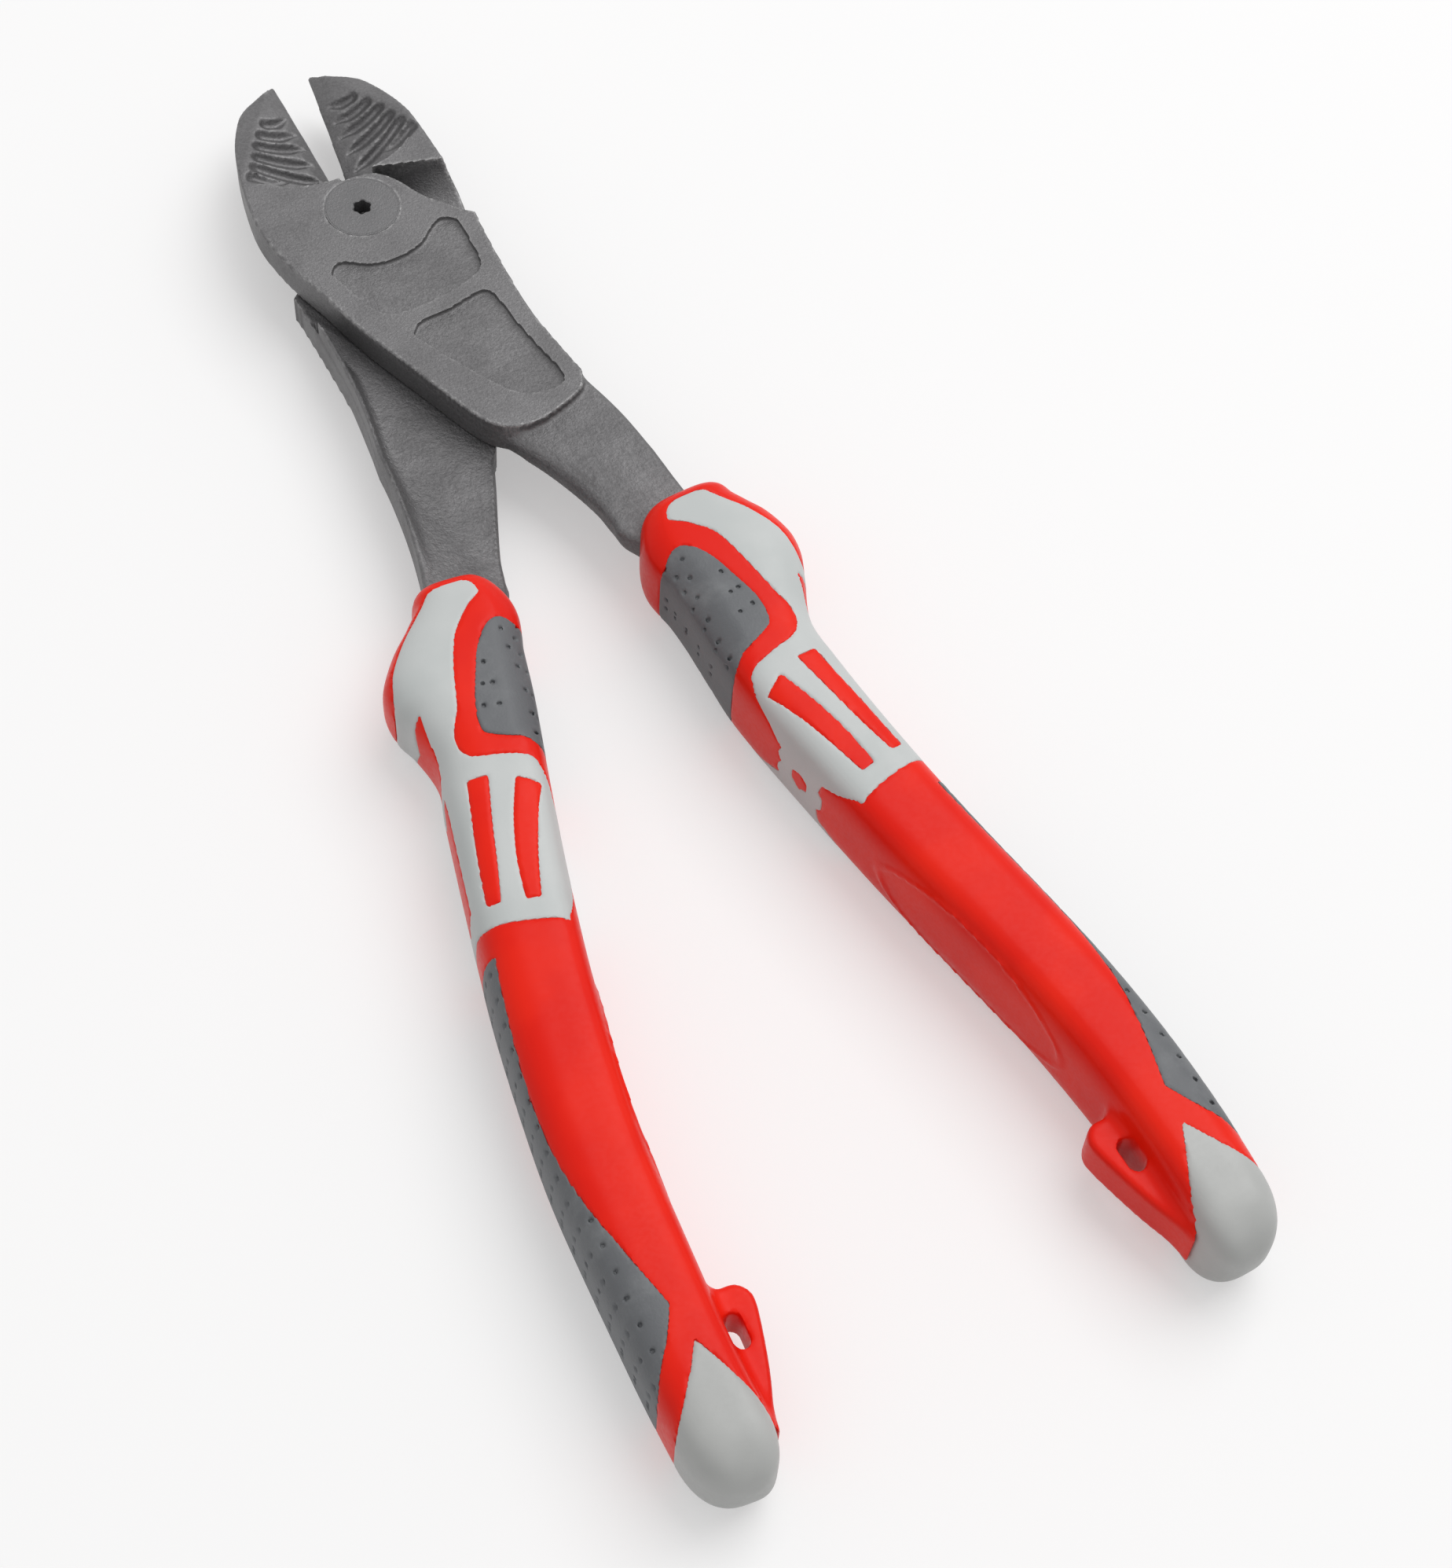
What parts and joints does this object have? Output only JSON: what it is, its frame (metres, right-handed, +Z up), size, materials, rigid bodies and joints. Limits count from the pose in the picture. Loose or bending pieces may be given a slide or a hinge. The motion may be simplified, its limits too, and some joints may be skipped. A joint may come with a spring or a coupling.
{
  "type": "side cutting pliers",
  "caption": "Heavy side-cutting pliers: lapped forged halves on a pivot bolt, bevelled ribbed jaws and long moulded grips with soft pads and tether eyes.",
  "frame": {"origin": "under the middle of the tool's outline, on the surface that it lies on", "axes": "+Y along the tool from the handle ends to the jaws, +Z up out of the surface through the lapped joint, along the pivot bolt; +X across, towards the handle of the front half"},
  "size_m": [0.0854, 0.2404, 0.0174],
  "materials": {
    "forged_steel": "blackened, fine satin forging skin",
    "bolt_steel": "blackened, turned",
    "grip_red": "satin",
    "sleeve_white": "satin, slightly cool white",
    "pad_grey": "matte, dimpled",
    "cap_white": "satin, slightly cool white"
  },
  "bodies": {
    "front": {"front_half": "forged_steel", "pivot_bolt": "bolt_steel", "pivot_nut": "bolt_steel", "right_grip_body": "grip_red", "right_sleeve": "sleeve_white", "right_upper_pad": "pad_grey", "right_lower_pad": "pad_grey", "right_end_cap": "cap_white"},
    "rear": {"rear_half": "forged_steel", "left_grip_body": "grip_red", "left_sleeve": "sleeve_white", "left_upper_pad": "pad_grey", "left_lower_pad": "pad_grey", "left_end_cap": "cap_white"}
  },
  "joints": [
    {"name": "pivot", "type": "hinge", "parent": "front", "child": "rear", "pos_m": [-0.00202, 0.08706, 0.00869], "axis": [0, 0, 1], "range_deg": [-12, 8.7]}
  ]
}
